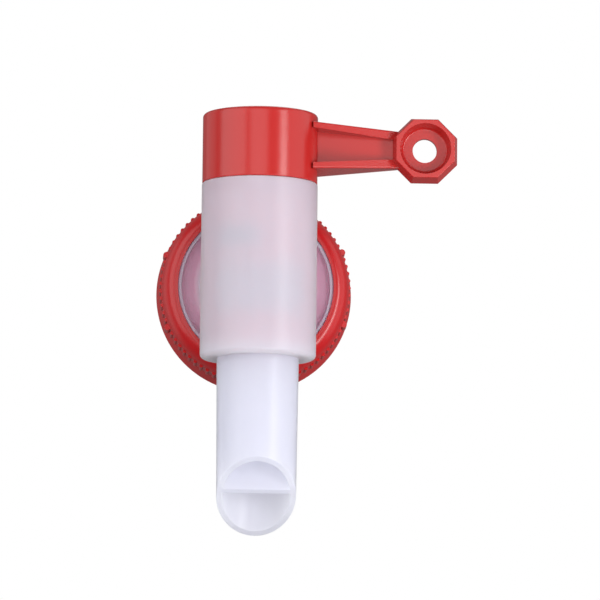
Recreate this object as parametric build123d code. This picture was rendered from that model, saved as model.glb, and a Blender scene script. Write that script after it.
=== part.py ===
from build123d import *
import os
from math import cos, radians, sin, tan

# Canister tap, in millimetres. +Z is up, +Y points into the canister, and +X is where the lever
# points while the tap is shut. The origin is the centre of the canister's sealing face, on the
# axis of the union nut.
#
# The tap vents itself. Liquid leaves by the lower half of the neck, the large window of the key
# and the back half of the spout. Air comes in by the front half of the spout, the top of the key,
# its small window and the upper half of the neck. Half a turn of the key opens both ways at once.

# Canister thread and seal
THREAD_ROOT_D = 61.4  # bore of the nut at the thread root, for a 61 mm canister neck
THREAD_LENGTH = 9.7  # from the sealing face to the tear-off slit
GASKET_T = 2.8
GASKET_BORE_D = 38.0
GASKET_EDGE = 0.3  # the gasket is this much smaller than the flange, all round
GASKET_PLAY = 0.05  # it lies loose behind the flange until the nut is tightened

# Union nut
NUT_HOLE_D = 54.4
NUT_LIP_T = 2.0
NUT_WALL = 2.25  # from the thread root to the root of the grip ribs
NUT_LIP_FLAT = 0.8  # flat ring at the edge of the hole, before the shoulder curves back
SHOULDER_END_Y = 2.2  # where the shoulder runs into the skirt
SEAT_STEP = 0.7  # the flange's seat is this much narrower than the thread root
RIB_COUNT = 80
RIB_R = 0.65
RIB_FRONT_FADE = 2.2  # length over which the ribs die out on the shoulder
LUG_COUNT = 8
LUG_R = 1.1
LUG_PHASE_DEG = 20.7
LUG_RISE = 0.45  # height of a lug's centre above the root of the ribs
BAND_D = 69.0  # tear-off band, at its rear edge
BAND_FRONT_D = 65.6
BAND_W = 7.7
BAND_WALL = 1.0  # at its front edge
BAND_ROUND = 0.6
SLIT_W = 0.6
BRIDGE_COUNT = 16
BRIDGE_W = 1.6
BRIDGE_T = 0.7

# Flange and neck of the body
FLANGE_D = 57.8
FLANGE_T = 2.0
LIP_GAP = 0.2  # play between the nut's lip and the flange
RIM_GAP = 0.3  # play between the flange's raised rim and the nut's hole
RIM_W = 0.9
RIM_H = 1.6
NECK_STEP = 0.5  # the neck's radius is this much under the barrel's
NECK_WALL = 2.5
NECK_ROOT_R = 2.5
NECK_BLEND_R = 1.5  # where the neck meets the barrel
NECK_WEB_T = 2.0
NECK_WEB_Z = 3.9
NUT_ROOM = 10.0  # free space between the nut's front face and the barrel

# Barrel
BARREL_D = 40.0
BARREL_WALL = 2.5
BARREL_ABOVE = 31.0  # from the neck's axis to the top rim
BARREL_BELOW = 29.8  # from the neck's axis to the underside
BARREL_FLOOR = 2.5
BARREL_FOOT_R = 1.5
BARREL_RIM_R = 0.5

# Spout, cut on the slant with its tongue at the back
SPOUT_D = 28.3
SPOUT_TIP_D = 27.2
SPOUT_WALL = 2.0
SPOUT_LIP_R = 0.3
SPOUT_LENGTH = 60.05
SPOUT_CUT_DEG = 41.9
WEB_T = 1.6  # upright web that parts air from liquid, in the spout and in the key
WEB_OFFSET = 1.8  # the web stands this far off the barrel's axis

# Windows of the key and ports of the barrel
WINDOW_HALF_DEG = 48.0
WINDOW_CORNER_R = 1.5
LIQUID_LAND = 1.4  # from the neck's web down to the liquid window
LIQUID_WINDOW_H = 17.8
AIR_LAND = 1.8  # from the neck's web up to the air window
AIR_WINDOW_H = 7.0
PORT_MARGIN = 0.6  # the ports stay this far inside the neck's bore

# Key: hub, plug and lever in one moulding
HUB_INSET = 0.1
HUB_H = 24.1
HUB_TOP_T = 2.0
HUB_ROUND = 1.2
HUB_EDGE_R = 0.3
HUB_GAP = 0.2
PLUG_GAP = 0.06
PLUG_WALL = 2.0
PLUG_END_GAP = 0.3
BEAD_R = 0.9  # snap bead that keeps the key in the barrel
BEAD_PROUD = 0.55
BEAD_GAP = 0.12
BEAD_DROP = 7.0  # from the top rim down to the bead
TURN_DEG = 180.0
STOP_HALF_DEG = 10.0
STOP_PLAY_DEG = 1.0
STOP_PROUD = 1.1
STOP_H = 2.6
STOP_GAP = 0.3

# Lever and its eight-sided ring
LEVER_REACH = 56.9  # from the key's axis to the ring's hole
LEVER_RISE = 12.4  # from the hub's underside to the middle of the lever
LEVER_ROOT_H = 16.1
LEVER_END_H = 13.1
LEVER_ROOT_DEPTH = 20.0
LEVER_END_DEPTH = 5.8
LEVER_WEB_T = 2.0
LEVER_EDGE_R = 0.5
LEVER_BITE = 3.2  # the lever runs this far into the ring
POCKET_ROOT_H = 11.9
POCKET_END_H = 7.0
RING_FLATS = 22.6  # at mid depth, where the ring is widest
RING_FACE_FLATS = 20.2  # at its two faces
RING_T = 13.0
RING_EDGE_R = 0.3
RING_HOLE_D = 8.4
DISH_D = 17.7
DISH_FLOOR_D = 15.5
DISH_FLOOR_R = 0.8
DISH_DEPTH = 5.4

# Places along the nut's axis
FLANGE_BACK_Y = -GASKET_T
FLANGE_FRONT_Y = FLANGE_BACK_Y - FLANGE_T
LIP_BACK_Y = FLANGE_FRONT_Y - LIP_GAP
NUT_FRONT_Y = LIP_BACK_Y - NUT_LIP_T
BAND_FRONT_Y = THREAD_LENGTH + SLIT_W
NUT_BACK_Y = BAND_FRONT_Y + BAND_W
BARREL_Y = NUT_FRONT_Y - NUT_ROOM - BARREL_D / 2

# Heights
BARREL_TOP_Z = BARREL_ABOVE
BARREL_BOTTOM_Z = -BARREL_BELOW
FLOOR_Z = BARREL_BOTTOM_Z + BARREL_FLOOR
SPOUT_TIP_Z = BARREL_BOTTOM_Z - SPOUT_LENGTH
HUB_BOTTOM_Z = BARREL_TOP_Z + HUB_GAP
HUB_TOP_Z = HUB_BOTTOM_Z + HUB_H
LEVER_Z = HUB_BOTTOM_Z + LEVER_RISE
WEB_LOW_Z = NECK_WEB_Z - NECK_WEB_T / 2
WEB_HIGH_Z = NECK_WEB_Z + NECK_WEB_T / 2
LIQUID_TOP_Z = WEB_LOW_Z - LIQUID_LAND
AIR_BOTTOM_Z = WEB_HIGH_Z + AIR_LAND
BEAD_Z = BARREL_TOP_Z - BEAD_DROP

# Radii
BARREL_R = BARREL_D / 2
BARREL_BORE_R = BARREL_R - BARREL_WALL
NECK_R = BARREL_R - NECK_STEP
NECK_BORE_R = NECK_R - NECK_WALL
FLANGE_R = FLANGE_D / 2
RIM_R = NUT_HOLE_D / 2 - RIM_GAP
PLUG_R = BARREL_BORE_R - PLUG_GAP
PLUG_BORE_R = PLUG_R - PLUG_WALL
HUB_R = BARREL_R - HUB_INSET
BEAD_CENTRE_R = PLUG_R + BEAD_PROUD - BEAD_R
THREAD_R = THREAD_ROOT_D / 2
SKIRT_R = THREAD_R + NUT_WALL
WINDOW_HALF_W = PLUG_R * sin(radians(WINDOW_HALF_DEG))

BASE = (Align.CENTER, Align.CENTER, Align.MIN)
LONG = 200.0  # longer than any piece, for cutting tools


def on_barrel(z):
    """Place on the barrel's axis at height z."""
    return Pos(0, BARREL_Y, z)


def post(radius, low_z, high_z):
    """Upright cylinder on the barrel's axis."""
    return on_barrel(low_z) * Cylinder(radius, high_z - low_z, align=BASE)


def along_y(radius, front_y, back_y):
    """Cylinder on the nut's axis."""
    return Pos(0, front_y, 0) * Rot(-90, 0, 0) * Cylinder(radius, back_y - front_y, align=BASE)


def block(x_range, y_range, z_range):
    """Box between two corners, with y counted from the barrel's axis."""
    sizes = [high - low for low, high in (x_range, y_range, z_range)]
    corner = (x_range[0], BARREL_Y + y_range[0], z_range[0])
    return Pos(*corner) * Box(*sizes, align=(Align.MIN, Align.MIN, Align.MIN))


def sector(inner_r, outer_r, low_z, high_z, start_deg, sweep_deg):
    """Part of a ring about the barrel's axis, counted from +X towards +Y."""
    section = Plane.XZ * Pos((inner_r + outer_r) / 2, (low_z + high_z) / 2) * Rectangle(
        outer_r - inner_r, high_z - low_z
    )
    return on_barrel(0) * Rot(0, 0, start_deg) * revolve(section, Axis.Z, sweep_deg)


def window(x_low, x_high, low_z, height, towards):
    """Rounded prism from the barrel's axis outwards, to the front (-1) or to the back (+1)."""
    plane = Plane(
        origin=((x_low + x_high) / 2, BARREL_Y, low_z + height / 2),
        x_dir=(1, 0, 0),
        z_dir=(0, towards, 0),
    )
    outline = plane * RectangleRounded(x_high - x_low, height, WINDOW_CORNER_R)
    return extrude(outline, BARREL_R + BARREL_WALL)


def liquid_window(towards):
    return window(
        -WINDOW_HALF_W, WINDOW_HALF_W, LIQUID_TOP_Z - LIQUID_WINDOW_H, LIQUID_WINDOW_H, towards
    )


def air_window(towards):
    """Only half as wide as the liquid window, on one side."""
    x_low, x_high = sorted((0, towards * WINDOW_HALF_W))
    return window(x_low, x_high, AIR_BOTTOM_Z, AIR_WINDOW_H, towards)


def neck_and_flange():
    """Neck tube, flange and the flange's raised rim, turned about the nut's axis."""
    root_y = FLANGE_FRONT_Y - NECK_ROOT_R
    neck = Polyline((0, FLANGE_BACK_Y), (0, BARREL_Y), (NECK_R, BARREL_Y), (NECK_R, root_y))
    root = CenterArc((NECK_R + NECK_ROOT_R, root_y), NECK_ROOT_R, 180, -90)
    flange = Polyline(
        (NECK_R + NECK_ROOT_R, FLANGE_FRONT_Y),
        (RIM_R - RIM_W, FLANGE_FRONT_Y),
        (RIM_R - RIM_W, FLANGE_FRONT_Y - RIM_H),
        (RIM_R, FLANGE_FRONT_Y - RIM_H),
        (RIM_R, FLANGE_FRONT_Y),
        (FLANGE_R, FLANGE_FRONT_Y),
        (FLANGE_R, FLANGE_BACK_Y),
        (0, FLANGE_BACK_Y),
    )
    return revolve(make_face(neck + root + flange), Axis.Y)


def spout_cone(wall, low_z, high_z):
    """The spout's taper between two heights, its surface set in by wall."""
    slope = (SPOUT_D - SPOUT_TIP_D) / 2 / SPOUT_LENGTH
    low_r = SPOUT_TIP_D / 2 - wall + slope * (low_z - SPOUT_TIP_Z)
    high_r = SPOUT_TIP_D / 2 - wall + slope * (high_z - SPOUT_TIP_Z)
    return on_barrel(low_z) * Cone(low_r, high_r, high_z - low_z, align=BASE)


def slant_cut(body):
    """Cuts the spout's end so that its tongue is at the back."""
    half = SPOUT_TIP_D / 2 * tan(radians(SPOUT_CUT_DEG))
    normal = (0, -sin(radians(SPOUT_CUT_DEG)), -cos(radians(SPOUT_CUT_DEG)))
    plane = Plane(origin=(0, BARREL_Y, SPOUT_TIP_Z + half), z_dir=normal)
    body = split(body, bisect_by=plane, keep=Keep.BOTTOM)
    lip = body.faces().filter_by(Axis((0, 0, 0), normal))
    return fillet(lip.edges(), SPOUT_LIP_R)


def tap_body():
    """Barrel, spout, neck and flange in one moulding."""
    barrel = post(BARREL_R, BARREL_BOTTOM_Z, BARREL_TOP_Z)
    barrel = fillet(barrel.edges().group_by(Axis.Z)[0], BARREL_FOOT_R)
    barrel = fillet(barrel.edges().group_by(Axis.Z)[-1], BARREL_RIM_R)
    spout = spout_cone(0, SPOUT_TIP_Z, BARREL_BOTTOM_Z)
    neck = neck_and_flange()
    body = barrel + neck
    body = fillet(new_edges(barrel, neck, combined=body), NECK_BLEND_R)
    body += spout

    # The neck is hollow up to the barrel's wall, with a level web between air and liquid
    web = block(
        (-BARREL_D, BARREL_D), (0, FLANGE_BACK_Y - BARREL_Y), (WEB_LOW_Z, WEB_HIGH_Z)
    )
    neck_core = along_y(NECK_BORE_R, BARREL_Y, FLANGE_BACK_Y) - web
    body -= neck_core - post(BARREL_R, BARREL_BOTTOM_Z, BARREL_TOP_Z)
    port_limit = along_y(NECK_BORE_R - PORT_MARGIN, BARREL_Y, FLANGE_BACK_Y)
    body -= port_limit & (liquid_window(+1) + air_window(+1))

    # The barrel's bore, with the groove for the key's bead and the track for its stop
    body -= post(BARREL_BORE_R, FLOOR_Z, BARREL_TOP_Z)
    body -= on_barrel(BEAD_Z) * Torus(BEAD_CENTRE_R, BEAD_R + BEAD_GAP)
    track_half = STOP_HALF_DEG + STOP_PLAY_DEG
    body -= sector(
        BARREL_BORE_R - STOP_GAP,
        PLUG_R + STOP_PROUD + STOP_GAP,
        BARREL_TOP_Z - STOP_H - STOP_GAP,
        BARREL_TOP_Z,
        TURN_DEG / 2 - TURN_DEG - track_half,
        TURN_DEG + 2 * track_half,
    )

    # The spout's two channels, parted by the upright web
    spout_web = block(
        (-SPOUT_D, SPOUT_D),
        (-WEB_OFFSET - WEB_T / 2, -WEB_OFFSET + WEB_T / 2),
        (SPOUT_TIP_Z, FLOOR_Z),
    )
    body -= spout_cone(SPOUT_WALL, SPOUT_TIP_Z, FLOOR_Z) - spout_web
    return slant_cut(body)


def lever_profile(x, root, end):
    """Half of a size that tapers from the hub to the ring, at distance x from the key's axis."""
    end_x = LEVER_REACH - RING_FLATS / 2
    return (root + (end - root) * (x - HUB_R) / (end_x - HUB_R)) / 2


def lever_prism(plane, root, end, depth):
    """Tapered plate from inside the hub to inside the ring, spread to both sides by depth."""
    low_x = HUB_R - PLUG_WALL
    high_x = LEVER_REACH - RING_FLATS / 2 + LEVER_BITE
    low_half = lever_profile(low_x, root, end)
    high_half = lever_profile(high_x, root, end)
    outline = Polyline(
        (low_x, -low_half), (high_x, -high_half), (high_x, high_half), (low_x, low_half), close=True
    )
    return extrude(plane * make_face(outline), depth, both=True)


def lever():
    """Beam of I section that tapers towards the ring both in height and in depth."""
    side = Plane(origin=(0, BARREL_Y, LEVER_Z), x_dir=(1, 0, 0), z_dir=(0, -1, 0))
    top = Plane(origin=(0, BARREL_Y, LEVER_Z), x_dir=(1, 0, 0), z_dir=(0, 0, 1))
    beam = lever_prism(side, LEVER_ROOT_H, LEVER_END_H, LEVER_ROOT_DEPTH)
    beam &= lever_prism(top, LEVER_ROOT_DEPTH, LEVER_END_DEPTH, LEVER_ROOT_H)
    beam = fillet(beam.edges().sort_by(SortBy.LENGTH)[-4:], LEVER_EDGE_R)
    pocket = lever_prism(side, POCKET_ROOT_H, POCKET_END_H, LEVER_ROOT_DEPTH)
    web = extrude(side * Rectangle(LONG, LONG), LEVER_WEB_T / 2, both=True)
    return beam - (pocket - web)


def ring_disc(radius, depth):
    """Cylinder along the ring's axis, spread to both sides by depth."""
    plane = Plane(origin=(LEVER_REACH, BARREL_Y, LEVER_Z), x_dir=(1, 0, 0), z_dir=(0, -1, 0))
    return extrude(plane * Circle(radius), depth, both=True)


def dish(towards):
    """Dish in one face of the ring, with a sloping wall and a rounded floor."""
    place = Pos(LEVER_REACH, BARREL_Y + towards * (RING_T / 2 - DISH_DEPTH), LEVER_Z)
    cone = Cone(DISH_FLOOR_D / 2, DISH_D / 2, DISH_DEPTH, align=BASE)
    cone = fillet(cone.edges().group_by(Axis.Z)[0], DISH_FLOOR_R)
    return place * Rot(-90 * towards, 0, 0) * cone


def lever_ring():
    """Eight-sided ring at the end of the lever, dished on both faces and bored through."""
    outlines = []
    for depth, flats in ((-1, RING_FACE_FLATS), (0, RING_FLATS), (1, RING_FACE_FLATS)):
        origin = (LEVER_REACH, BARREL_Y - depth * RING_T / 2, LEVER_Z)
        plane = Plane(origin=origin, x_dir=(1, 0, 0), z_dir=(0, -1, 0))
        outlines.append(plane * RegularPolygon(flats / 2, 8, major_radius=False, rotation=22.5))
    ring = loft(outlines, ruled=True)
    return fillet(ring.edges(), RING_EDGE_R)


def tap_key():
    """Hub, hollow plug, lever and ring in one moulding, drawn shut."""
    hub = post(HUB_R, HUB_BOTTOM_Z, HUB_TOP_Z)
    hub = fillet(hub.edges().group_by(Axis.Z)[-1], HUB_ROUND)
    hub = fillet(hub.edges().group_by(Axis.Z)[0], HUB_EDGE_R)
    plug = post(PLUG_R, FLOOR_Z + PLUG_END_GAP, HUB_BOTTOM_Z)
    stop = sector(
        PLUG_R - STOP_GAP,
        PLUG_R + STOP_PROUD,
        BARREL_TOP_Z - STOP_H,
        HUB_BOTTOM_Z,
        TURN_DEG / 2 - STOP_HALF_DEG,
        2 * STOP_HALF_DEG,
    )
    key = hub + plug + stop + on_barrel(BEAD_Z) * Torus(BEAD_CENTRE_R, BEAD_R)
    key += lever() + lever_ring()
    key -= dish(-1) + dish(+1) + ring_disc(RING_HOLE_D / 2, RING_T)

    # The plug's bore, parted by an upright web and by a shelf over the liquid half
    key_web = block(
        (-BARREL_D, BARREL_D),
        (WEB_OFFSET - WEB_T / 2, WEB_OFFSET + WEB_T / 2),
        (FLOOR_Z, WEB_HIGH_Z),
    )
    shelf = block(
        (-BARREL_D, BARREL_D), (-BARREL_D, WEB_OFFSET + WEB_T / 2), (WEB_LOW_Z, WEB_HIGH_Z)
    )
    key -= post(PLUG_BORE_R, FLOOR_Z, HUB_TOP_Z - HUB_TOP_T) - key_web - shelf
    return key - liquid_window(-1) - air_window(-1)


def nut_shell():
    """Lip, shoulder and smooth skirt of the nut, turned about its axis."""
    hole_r = NUT_HOLE_D / 2
    lip_r = hole_r + NUT_LIP_FLAT
    inside = Polyline(
        (lip_r, NUT_FRONT_Y),
        (hole_r, NUT_FRONT_Y),
        (hole_r, LIP_BACK_Y),
        (THREAD_R - SEAT_STEP, LIP_BACK_Y),
        (THREAD_R - SEAT_STEP, 0),
        (THREAD_R, 0),
        (THREAD_R, THREAD_LENGTH),
        (SKIRT_R, THREAD_LENGTH),
        (SKIRT_R, SHOULDER_END_Y),
    )
    shoulder = EllipticalCenterArc(
        (lip_r, SHOULDER_END_Y),
        SKIRT_R - lip_r,
        SHOULDER_END_Y - NUT_FRONT_Y,
        start_angle=270,
        arc_size=90,
    )
    return revolve(make_face(inside + shoulder), Axis.Y)


def grip():
    """Fine ribs round the skirt with a taller lug at even steps, dying out on the shoulder."""
    front = Plane(origin=(0, NUT_FRONT_Y, 0), x_dir=(1, 0, 0), z_dir=(0, 1, 0))
    outline = Circle(SKIRT_R)
    outline += PolarLocations(SKIRT_R, RIB_COUNT, LUG_PHASE_DEG) * Circle(RIB_R)
    outline += PolarLocations(SKIRT_R + LUG_RISE, LUG_COUNT, LUG_PHASE_DEG) * Circle(LUG_R)
    ribbed = extrude(front * outline, THREAD_LENGTH - NUT_FRONT_Y)
    tip_r = SKIRT_R + LUG_RISE + LUG_R
    envelope = Polyline(
        (0, SHOULDER_END_Y - RIB_FRONT_FADE),
        (SKIRT_R - RIB_R, SHOULDER_END_Y - RIB_FRONT_FADE),
        (tip_r, SHOULDER_END_Y),
        (tip_r, THREAD_LENGTH),
        (0, THREAD_LENGTH),
        close=True,
    )
    bore = along_y(THREAD_R + NUT_WALL / 2, NUT_FRONT_Y, THREAD_LENGTH)
    return (ribbed & revolve(make_face(envelope), Axis.Y)) - bore


def tear_off_band():
    """Plain flared band behind the skirt, with the small bridges that hold it there."""
    flare = Cone(BAND_FRONT_D / 2, BAND_D / 2, BAND_W, align=BASE)
    flare = fillet(flare.edges().group_by(Axis.Z)[-1], BAND_ROUND)
    band = Pos(0, BAND_FRONT_Y, 0) * Rot(-90, 0, 0) * flare
    band -= along_y(BAND_FRONT_D / 2 - BAND_WALL, BAND_FRONT_Y, NUT_BACK_Y)
    slit = Plane(origin=(0, THREAD_LENGTH + SLIT_W / 2, 0), x_dir=(1, 0, 0), z_dir=(0, 1, 0))
    # A bridge sits in the middle of the band's front wall and always reaches the skirt
    middle_r = BAND_FRONT_D / 2 - BAND_WALL / 2
    inner_r = min(middle_r - BRIDGE_T / 2, SKIRT_R - BRIDGE_T)
    outer_r = max(middle_r + BRIDGE_T / 2, THREAD_R + BRIDGE_T)
    bridge = Box(outer_r - inner_r, BRIDGE_W, SLIT_W)
    bridges = slit * PolarLocations((inner_r + outer_r) / 2, BRIDGE_COUNT) * bridge
    return band + bridges


def union_nut():
    """Screw ring that draws the flange onto the canister, with its tear-off band."""
    return nut_shell() + grip() + tear_off_band()


def flange_gasket():
    """Flat ring between the flange and the canister's mouth."""
    front_y = FLANGE_BACK_Y + GASKET_PLAY
    return along_y(FLANGE_R - GASKET_EDGE, front_y, 0) - along_y(GASKET_BORE_D / 2, front_y, 0)


os.makedirs("parts", exist_ok=True)
for piece in (tap_body, tap_key, union_nut, flange_gasket):
    export_step(piece(), f"parts/{piece.__name__}.step")
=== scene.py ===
import math

import bmesh
import bpy
from mathutils import Matrix, Vector


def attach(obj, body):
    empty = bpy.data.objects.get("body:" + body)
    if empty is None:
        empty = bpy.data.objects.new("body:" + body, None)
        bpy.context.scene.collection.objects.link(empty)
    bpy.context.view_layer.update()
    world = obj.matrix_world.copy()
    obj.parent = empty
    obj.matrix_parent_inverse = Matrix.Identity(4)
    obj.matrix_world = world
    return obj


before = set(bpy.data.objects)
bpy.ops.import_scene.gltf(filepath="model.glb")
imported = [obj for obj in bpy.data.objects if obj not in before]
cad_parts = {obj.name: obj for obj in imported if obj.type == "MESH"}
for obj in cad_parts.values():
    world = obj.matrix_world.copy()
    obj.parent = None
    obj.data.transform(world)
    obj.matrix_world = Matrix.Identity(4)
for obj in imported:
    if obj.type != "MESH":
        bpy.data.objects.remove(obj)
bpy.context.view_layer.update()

MM = 0.001

# Camera, fitted to edges measured in the photo: just below the tap and a little to its left
CAMERA_TARGET = Vector((0.01433, -0.0370, -0.00904))
CAMERA_AZIMUTH = -2.168
CAMERA_ELEVATION = -8.306
CAMERA_ROLL = 0.626
CAMERA_DISTANCE = 2.2672
CAMERA_LENS = 394.8
CAMERA_SENSOR = 36.0
CAMERA_REACH = 20.0

# Thread of the union nut, in millimetres
THREAD_ROOT_R = 30.7
THREAD_CREST_R = 29.3
THREAD_PITCH = 4.0
THREAD_START = 1.6
THREAD_TURNS = 1.6
THREAD_BASE_HALF = 1.25
THREAD_CREST_HALF = 0.45
THREAD_SINK = 0.05
THREAD_STEPS = 220
# The ridge rises from this share of its height to all of it in one twelfth of its length
THREAD_END_HEIGHT = 0.02
THREAD_RUN_OUT = 12

# How much of the light passes a surface of the milky body: in the barrel, and in the flange,
# which begins at the first place along Y in millimetres and is reached in full at the second
BARREL_PASSES = 0.74
FLANGE_PASSES = 0.86
FLANGE_START_Y = -6.3
FLANGE_FRONT_Y = -5.6

# Strength of the room's even light and of the white sheet that the camera sees
ROOM_LIGHT = 0.20
SHEET_WHITE = 1.0
# Share of the white sheet's light that reaches the milky walls from behind
BACKDROP_GLOW = 0.28

# Lamps, all turned to the middle of the tap: place, width and height in metres, and watts.
# The key strip makes the narrow highlight on hub, barrel and spout, the screens and cards the rest
LAMP_AIM = Vector((0, -0.03, 0))
LAMPS = {
    "key strip": ((0.72, -0.74, -0.165), 0.26, 0.78, 7.6),
    "left screen": ((-0.87, -0.58, 0.20), 1.1, 1.5, 9.6),
    "left card": ((-0.95, 0.50, 0.12), 0.7, 1.2, 1.2),
    "front screen": ((-0.10, -1.30, 0.00), 0.8, 0.8, 3.8),
    "low card": ((0.20, -0.98, -0.65), 0.9, 0.5, 4.2),
    "right screen": ((1.02, -0.08, 0.12), 1.0, 1.4, 4.0),
    "top screen": ((0.10, 0.55, 1.15), 0.9, 0.9, 5.0),
}


def linear(code):
    """A colour written as sRGB hex, as the linear RGBA that shader sockets take."""
    channels = [int(code[i : i + 2], 16) / 255 for i in (1, 3, 5)]
    return [c / 12.92 if c <= 0.04045 else ((c + 0.055) / 1.055) ** 2.4 for c in channels] + [1.0]


def add_node(tree, kind, values=None, links=None, **settings):
    """Adds one node, sets its properties and input values, and links sockets into its inputs."""
    node = tree.nodes.new(kind)
    for key, value in settings.items():
        setattr(node, key, value)
    for key, value in (values or {}).items():
        node.inputs[key].default_value = value
    for key, socket in (links or {}).items():
        tree.links.new(socket, node.inputs[key])
    return node


def new_material(name):
    """Empty node material and its tree."""
    material = bpy.data.materials.new(name)
    material.use_nodes = True
    material.node_tree.nodes.clear()
    return material, material.node_tree


def grain_normal(tree, grain_mm, depth_mm):
    """Normal of a moulded surface whose faint grain breaks up its reflections."""
    place = add_node(tree, "ShaderNodeTexCoord")
    grain = add_node(
        tree,
        "ShaderNodeTexNoise",
        {"Scale": 1 / (grain_mm * MM), "Detail": 2.0, "Roughness": 0.5},
        {"Vector": place.outputs["Object"]},
    )
    bump = add_node(
        tree,
        "ShaderNodeBump",
        {"Strength": 1.0, "Distance": depth_mm * MM},
        {"Height": grain.outputs["Fac"]},
    )
    return bump.outputs["Normal"]


def solid_plastic(name, values, grain_mm, grain_depth_mm):
    """Evenly coloured moulding that lets no light through."""
    material, tree = new_material(name)
    normal = grain_normal(tree, grain_mm, grain_depth_mm)
    surface = add_node(tree, "ShaderNodeBsdfPrincipled", values, {"Normal": normal})
    add_node(tree, "ShaderNodeOutputMaterial", None, {"Surface": surface.outputs["BSDF"]})
    return material


def milky_plastic(name, back_colour, through_colour, ior, roughness, grain_mm, grain_depth_mm):
    """Moulding that scatters part of the light back and passes the rest on, blurred."""
    material, tree = new_material(name)
    normal = grain_normal(tree, grain_mm, grain_depth_mm)
    place = add_node(tree, "ShaderNodeTexCoord")
    along = add_node(tree, "ShaderNodeSeparateXYZ", None, {"Vector": place.outputs["Object"]})
    passed = add_node(
        tree,
        "ShaderNodeMapRange",
        {
            "From Min": FLANGE_START_Y * MM,
            "From Max": FLANGE_FRONT_Y * MM,
            "To Min": BARREL_PASSES,
            "To Max": FLANGE_PASSES,
        },
        {"Value": along.outputs["Y"]},
    )
    scattered = add_node(
        tree, "ShaderNodeBsdfDiffuse", {"Color": back_colour}, {"Normal": normal}
    )
    through = add_node(
        tree, "ShaderNodeBsdfTranslucent", {"Color": through_colour}, {"Normal": normal}
    )
    wall = add_node(
        tree,
        "ShaderNodeMixShader",
        None,
        {0: passed.outputs["Result"], 1: scattered.outputs["BSDF"], 2: through.outputs["BSDF"]},
    )
    skin = add_node(
        tree,
        "ShaderNodeBsdfGlossy",
        {"Color": linear("#ffffff"), "Roughness": roughness},
        {"Normal": normal},
    )
    # The skin shines on the outside only, so light inside the wall isn't thrown back by it
    fresnel = add_node(tree, "ShaderNodeFresnel", {"IOR": ior}, {"Normal": normal})
    side = add_node(tree, "ShaderNodeNewGeometry")
    outside = add_node(
        tree, "ShaderNodeMath", {0: 1.0}, {1: side.outputs["Backfacing"]}, operation="SUBTRACT"
    )
    shine = add_node(
        tree,
        "ShaderNodeMath",
        None,
        {0: fresnel.outputs["Fac"], 1: outside.outputs[0]},
        operation="MULTIPLY",
    )
    surface = add_node(
        tree,
        "ShaderNodeMixShader",
        None,
        {0: shine.outputs[0], 1: wall.outputs["Shader"], 2: skin.outputs["BSDF"]},
    )
    add_node(tree, "ShaderNodeOutputMaterial", None, {"Surface": surface.outputs["Shader"]})
    return material


# Milky polyethylene: the red key shows through the barrel as a pale pink with two bluish windows,
# and the gasket, whose pink is partly painted light, shows more strongly through the thinner
# flange
NATURAL_POLYETHYLENE = milky_plastic(
    "injection-moulded natural polyethylene",
    back_colour=linear("#eeedff"),
    through_colour=linear("#f2f3f4"),
    ior=1.53,
    roughness=0.43,
    grain_mm=1.2,
    grain_depth_mm=0.004,
)

# Red polypropylene of the key: evenly coloured, satin, with a soft upright highlight on the hub
RED_POLYPROPYLENE = solid_plastic(
    "injection-moulded red polypropylene",
    {"Base Color": linear("#b32422"), "Roughness": 0.23, "IOR": 1.49},
    grain_mm=0.9,
    grain_depth_mm=0.006,
)

# Red polyethylene of the nut: purer in colour than the key, with a softer sheen on its shoulder
RED_POLYETHYLENE = solid_plastic(
    "injection-moulded red polyethylene",
    {"Base Color": linear("#b40a11"), "Roughness": 0.30, "IOR": 1.50},
    grain_mm=0.9,
    grain_depth_mm=0.004,
)

# Gasket of red silicone rubber: matt, seen from behind and through the flange, which it turns
# pink. Its pale pink is partly painted light: it is brighter than the rubber's own red, and stands
# in for light that bounces inside the red nut and shines through the flange
RUBBER_WITH_PAINTED_LIGHT = solid_plastic(
    "red silicone rubber with painted light",
    {"Base Color": linear("#fa6aa4"), "Roughness": 0.75, "IOR": 1.41},
    grain_mm=0.5,
    grain_depth_mm=0.02,
)

LOOKS = {
    "tap_body": NATURAL_POLYETHYLENE,
    "tap_key": RED_POLYPROPYLENE,
    "union_nut": RED_POLYETHYLENE,
    "flange_gasket": RUBBER_WITH_PAINTED_LIGHT,
}
for node, material in LOOKS.items():
    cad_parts[node].data.materials.clear()
    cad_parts[node].data.materials.append(material)


def thread_ridge():
    """Helical ridge inside the nut, run out to nothing at both ends."""
    mesh = bmesh.new()
    rows = []
    for step in range(THREAD_STEPS + 1):
        share = step / THREAD_STEPS
        angle = share * THREAD_TURNS * 2 * math.pi
        height = min(1.0, THREAD_RUN_OUT * share, THREAD_RUN_OUT * (1 - share))
        rise = max(height, THREAD_END_HEIGHT) * (THREAD_ROOT_R - THREAD_CREST_R)
        foot_r = THREAD_ROOT_R + THREAD_SINK
        crest_r = THREAD_ROOT_R - rise
        middle = THREAD_START + share * THREAD_TURNS * THREAD_PITCH
        section = (
            (foot_r, middle - THREAD_BASE_HALF),
            (crest_r, middle - THREAD_CREST_HALF),
            (crest_r, middle + THREAD_CREST_HALF),
            (foot_r, middle + THREAD_BASE_HALF),
        )
        rows.append(
            [
                mesh.verts.new(Vector((r * math.cos(angle), y, -r * math.sin(angle))) * MM)
                for r, y in section
            ]
        )
    for row, following in zip(rows, rows[1:]):
        for i in range(4):
            j = (i + 1) % 4
            mesh.faces.new((row[i], row[j], following[j], following[i]))
    mesh.faces.new(rows[0][::-1])
    mesh.faces.new(rows[-1])
    bmesh.ops.recalc_face_normals(mesh, faces=mesh.faces)
    data = bpy.data.meshes.new("nut_thread")
    mesh.to_mesh(data)
    mesh.free()
    data.materials.append(RED_POLYETHYLENE)
    piece = bpy.data.objects.new("nut_thread", data)
    bpy.context.scene.collection.objects.link(piece)
    return piece


thread = thread_ridge()
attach(thread, "nut")


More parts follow.
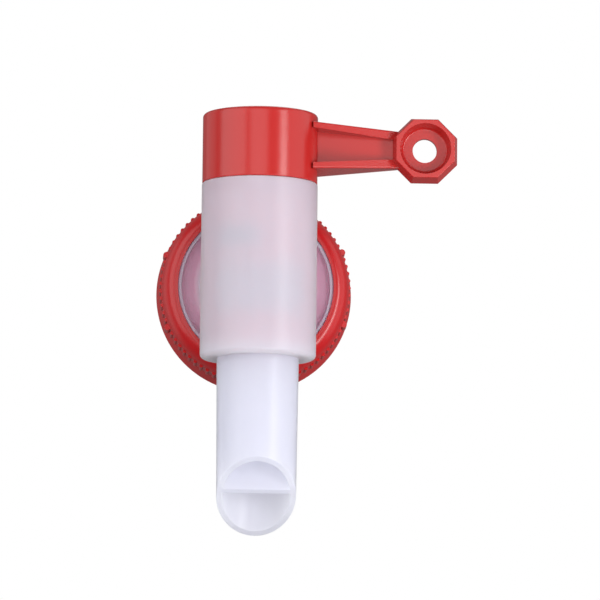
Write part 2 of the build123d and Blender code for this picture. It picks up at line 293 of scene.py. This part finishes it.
def area_light(name, place, width, height, watts):
    """Soft rectangular white lamp at place, turned to the tap."""
    lamp = bpy.data.lights.new(name, "AREA")
    lamp.shape = "RECTANGLE"
    lamp.size = width
    lamp.size_y = height
    lamp.energy = watts
    item = bpy.data.objects.new(name, lamp)
    item.location = place
    item.rotation_euler = (LAMP_AIM - Vector(place)).to_track_quat("-Z", "Y").to_euler()
    bpy.context.scene.collection.objects.link(item)


for name, lamp_values in LAMPS.items():
    area_light(name, *lamp_values)


def white_world():
    """Plain studio surround, with pure white where the camera looks past the object."""
    white = linear("#ffffff")
    world = bpy.data.worlds.new("studio")
    world.use_nodes = True
    tree = world.node_tree
    tree.nodes.clear()
    path = add_node(tree, "ShaderNodeLightPath")
    glow = add_node(
        tree,
        "ShaderNodeMath",
        {1: BACKDROP_GLOW},
        {0: path.outputs["Is Transmission Ray"], 2: path.outputs["Is Camera Ray"]},
        operation="MULTIPLY_ADD",
        use_clamp=True,
    )
    room = add_node(tree, "ShaderNodeBackground", {"Color": white, "Strength": ROOM_LIGHT})
    sheet = add_node(tree, "ShaderNodeBackground", {"Color": white, "Strength": SHEET_WHITE})
    both = add_node(
        tree,
        "ShaderNodeMixShader",
        None,
        {0: glow.outputs[0], 1: room.outputs["Background"], 2: sheet.outputs["Background"]},
    )
    add_node(tree, "ShaderNodeOutputWorld", None, {"Surface": both.outputs["Shader"]})
    bpy.context.scene.world = world


white_world()


def photo_camera():
    """Camera at the photo's viewpoint."""
    azimuth = math.radians(CAMERA_AZIMUTH)
    elevation = math.radians(CAMERA_ELEVATION)
    back = Vector(
        (
            math.sin(azimuth) * math.cos(elevation),
            -math.cos(azimuth) * math.cos(elevation),
            math.sin(elevation),
        )
    )
    right = Vector((math.cos(azimuth), math.sin(azimuth), 0))
    up = back.cross(right)
    turn = Matrix((right, up, back)).transposed().to_4x4()
    lens = bpy.data.cameras.new("photo camera")
    lens.lens = CAMERA_LENS
    lens.sensor_width = CAMERA_SENSOR
    lens.clip_end = CAMERA_REACH
    camera = bpy.data.objects.new("photo camera", lens)
    place = Matrix.Translation(CAMERA_TARGET + CAMERA_DISTANCE * back)
    camera.matrix_world = place @ turn @ Matrix.Rotation(math.radians(CAMERA_ROLL), 4, "Z")
    bpy.context.scene.collection.objects.link(camera)
    bpy.context.scene.camera = camera


photo_camera()
bpy.context.scene.view_settings.view_transform = "Standard"
